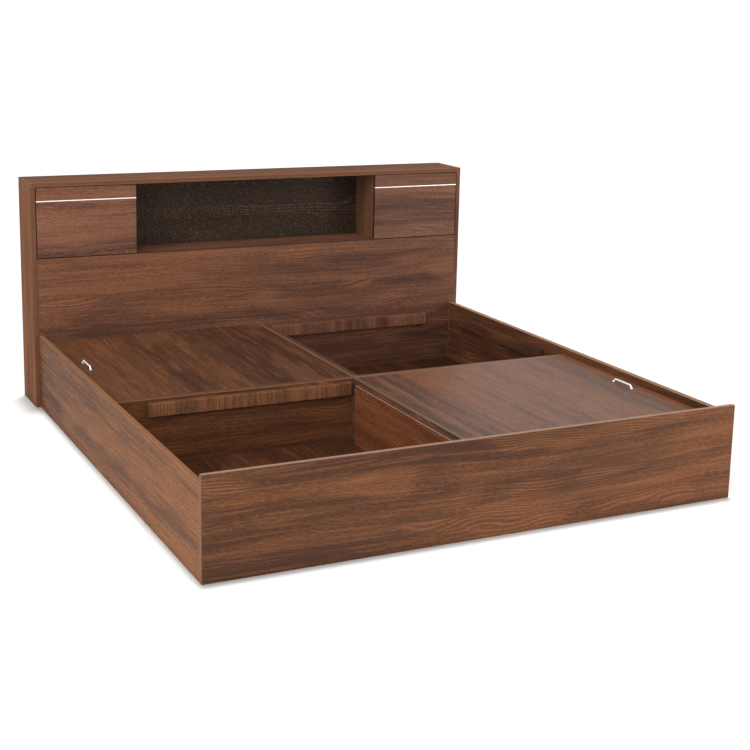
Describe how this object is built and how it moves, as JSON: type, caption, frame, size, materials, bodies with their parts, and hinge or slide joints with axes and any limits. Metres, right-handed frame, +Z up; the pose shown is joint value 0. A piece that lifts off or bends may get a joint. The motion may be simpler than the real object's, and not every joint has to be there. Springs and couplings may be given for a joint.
{
  "type": "storage bed",
  "caption": "Low platform bed with open and lidded storage compartments under the mattress and a shallow headboard cabinet with an open niche between side doors.",
  "frame": {"origin": "under the middle of the whole bed, on the ground", "axes": "+X right seen from the foot, +Y from foot to headboard, +Z up"},
  "size_m": [1.916, 2.148, 0.905],
  "materials": {
    "walnut_board": "satin walnut laminate with red-brown figure and tan edge bands",
    "plain_batten": "plain sawn softwood and board, hidden",
    "back_sheet": "thin brown hardboard",
    "dark_back_panel": "near-black brown laminate with fine golden figure",
    "light_inlay": "white gloss strip",
    "handle_chrome": "bright plated wire",
    "fitting_steel": "zinc plated",
    "fitting_nylon": "brown nylon"
  },
  "bodies": {
    "root": {"foot_panel": "walnut_board", "left_rail": "walnut_board", "right_rail": "walnut_board", "centre_divider": "walnut_board", "left_cross_divider": "walnut_board", "right_cross_divider": "walnut_board", "front_left_ledge": "walnut_board", "front_right_ledge": "walnut_board", "rear_left_ledge": "walnut_board", "rear_right_ledge": "walnut_board", "front_left_foot_cleat": "walnut_board", "front_left_cross_cleat": "walnut_board", "front_left_rail_cleat": "walnut_board", "front_right_foot_cleat": "walnut_board", "front_right_cross_cleat": "walnut_board", "front_right_rail_cleat": "walnut_board", "rear_left_cross_cleat": "walnut_board", "rear_left_head_cleat": "walnut_board", "rear_left_rail_cleat": "walnut_board", "rear_right_cross_cleat": "walnut_board", "rear_right_head_cleat": "walnut_board", "rear_right_rail_cleat": "walnut_board", "front_left_floor": "walnut_board", "front_right_floor": "walnut_board", "rear_left_floor": "walnut_board", "rear_right_floor": "walnut_board", "headboard_left_side": "walnut_board", "headboard_right_side": "walnut_board", "headboard_top": "walnut_board", "headboard_front_panel": "walnut_board", "headboard_shelf": "walnut_board", "niche_left_partition": "walnut_board", "niche_right_partition": "walnut_board", "front_floor_battens": "plain_batten", "rear_floor_battens": "plain_batten", "headboard_corner_battens": "plain_batten", "headboard_centre_upright": "plain_batten", "headboard_bottom_rail": "plain_batten", "headboard_upper_back": "back_sheet", "headboard_lower_back": "back_sheet", "niche_back_panel": "dark_back_panel", "door_pivot_pins": "fitting_steel", "cam_discs": "fitting_steel", "cam_bolts": "fitting_steel", "rail_hook_plates": "fitting_steel", "rail_slot_plates": "fitting_steel", "cross_divider_angles": "fitting_steel", "door_catches": "fitting_nylon"},
    "left_door": {"left_door": "walnut_board", "left_door_inlay": "light_inlay", "left_door_bushes": "fitting_nylon", "left_door_strike": "fitting_steel"},
    "right_door": {"right_door": "walnut_board", "right_door_inlay": "light_inlay", "right_door_bushes": "fitting_nylon", "right_door_strike": "fitting_steel"},
    "rear_left_lid": {"rear_left_lid": "walnut_board", "rear_left_lid_handle": "handle_chrome"},
    "front_right_lid": {"front_right_lid": "walnut_board", "front_right_lid_handle": "handle_chrome"}
  },
  "joints": [
    {"name": "left_door_hinge", "type": "hinge", "parent": "root", "child": "left_door", "pos_m": [-0.92094, 0.873, 0.745], "axis": [0, 0, -1], "range_deg": [0, 110]},
    {"name": "right_door_hinge", "type": "hinge", "parent": "root", "child": "right_door", "pos_m": [0.92094, 0.873, 0.745], "axis": [0, 0, 1], "range_deg": [0, 110]},
    {"name": "rear_left_lid_lift", "type": "slide", "parent": "root", "child": "rear_left_lid", "axis": [0, 0, 1], "range_m": [0, 0.3]},
    {"name": "front_right_lid_lift", "type": "slide", "parent": "root", "child": "front_right_lid", "axis": [0, 0, 1], "range_m": [0, 0.3]}
  ]
}
